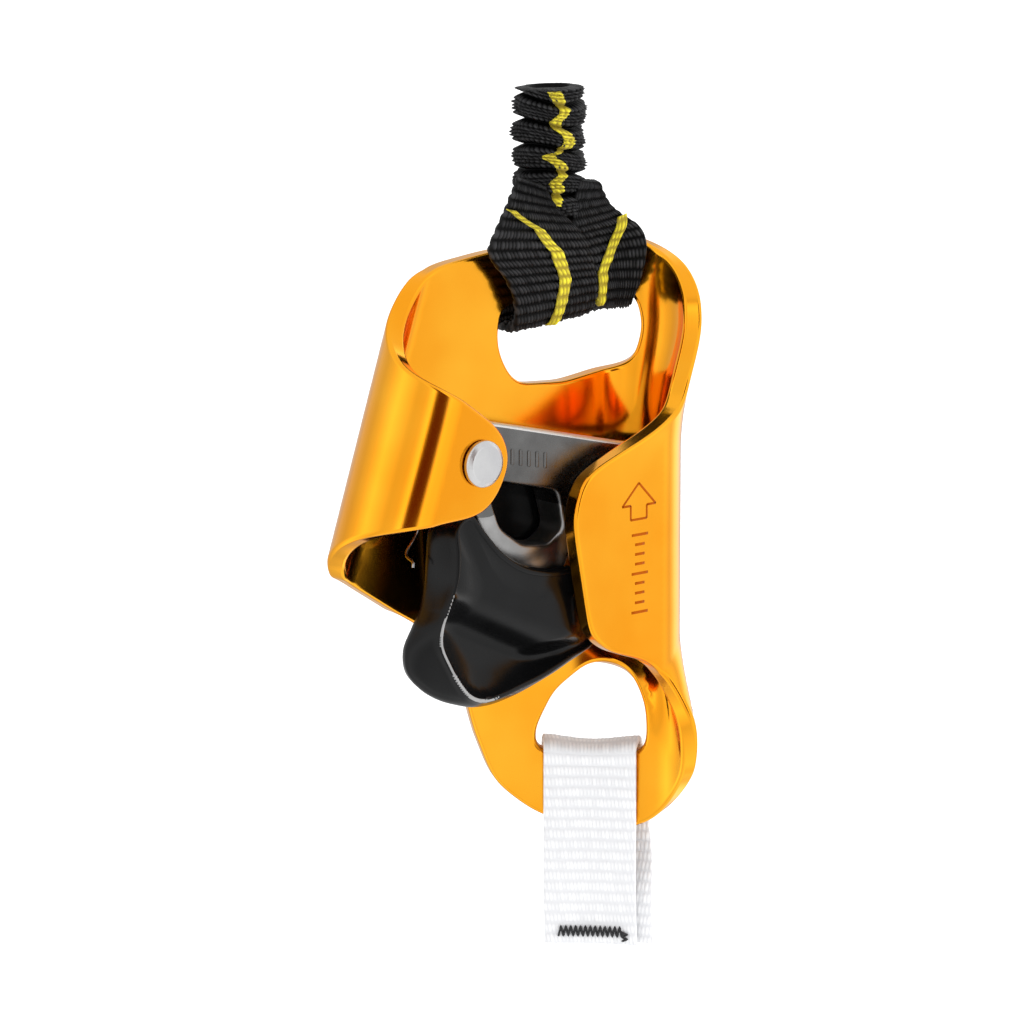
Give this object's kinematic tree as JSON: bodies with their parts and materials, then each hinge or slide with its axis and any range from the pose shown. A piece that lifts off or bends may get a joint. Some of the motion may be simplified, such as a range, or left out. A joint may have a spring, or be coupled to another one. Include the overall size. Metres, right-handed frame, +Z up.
{
  "type": "rope grab",
  "caption": "Chest rope grab: folded aluminium frame with a rope channel, sprung toothed cam with a thumb catch, elastic strap on the upper eye and webbing loop on the lower eye.",
  "frame": {"origin": "centre of the shoulder strap's upper end, where the part is held up", "axes": "+X from the cam axle towards the rope channel, +Y towards the wearer's chest, +Z up along the rope"},
  "size_m": [0.0761, 0.0317, 0.1558],
  "materials": {
    "anodised": "bright orange-gold anodised, near-mirror gloss",
    "stainless": "satin grey stainless, bead finished",
    "rivet_steel": "bright satin turned steel",
    "spring_steel": "plain spring steel",
    "nylon": "black moulded nylon, semi-gloss",
    "black_webbing": "black woven polyester webbing",
    "elastic": "covered rubber strands",
    "yellow_yarn": "yellow tracer yarn woven into the webbing",
    "white_webbing": "white woven polyamide webbing",
    "black_thread": "black sewing thread"
  },
  "bodies": {
    "frame_body": {"frame": "anodised", "channel_liner": "stainless", "liner_rivet_1": "rivet_steel", "liner_rivet_2": "rivet_steel", "axle_rivet": "rivet_steel", "rivet_washer": "rivet_steel", "axle_sleeve": "rivet_steel", "washer_front": "spring_steel", "cam_spring": "spring_steel", "strap_lobe_left": "black_webbing", "strap_lobe_right": "black_webbing", "strap_sleeve": "black_webbing", "strap_core": "elastic", "strap_tail": "elastic", "tracer_left": "yellow_yarn", "tracer_right": "yellow_yarn", "tracer_sleeve": "yellow_yarn", "web_loop": "white_webbing", "web_bartack": "black_thread"},
    "cam_body": {"cam": "stainless", "catch_pin": "rivet_steel"},
    "catch_body": {"catch": "nylon", "catch_spring": "spring_steel"}
  },
  "joints": [
    {"name": "cam_pivot", "type": "hinge", "parent": "frame_body", "child": "cam_body", "pos_m": [-0.0312, -0.0082, -0.061], "axis": [0, 1, 0], "range_deg": [0, 32], "stiffness_Nm_per_rad": 0.08, "springref_deg": -20.05},
    {"name": "catch_pivot", "type": "hinge", "parent": "cam_body", "child": "catch_body", "pos_m": [-0.0142, -0.0082, -0.0854], "axis": [0, 1, 0], "range_deg": [-12, 0], "stiffness_Nm_per_rad": 0.03, "springref_deg": 22.92}
  ]
}
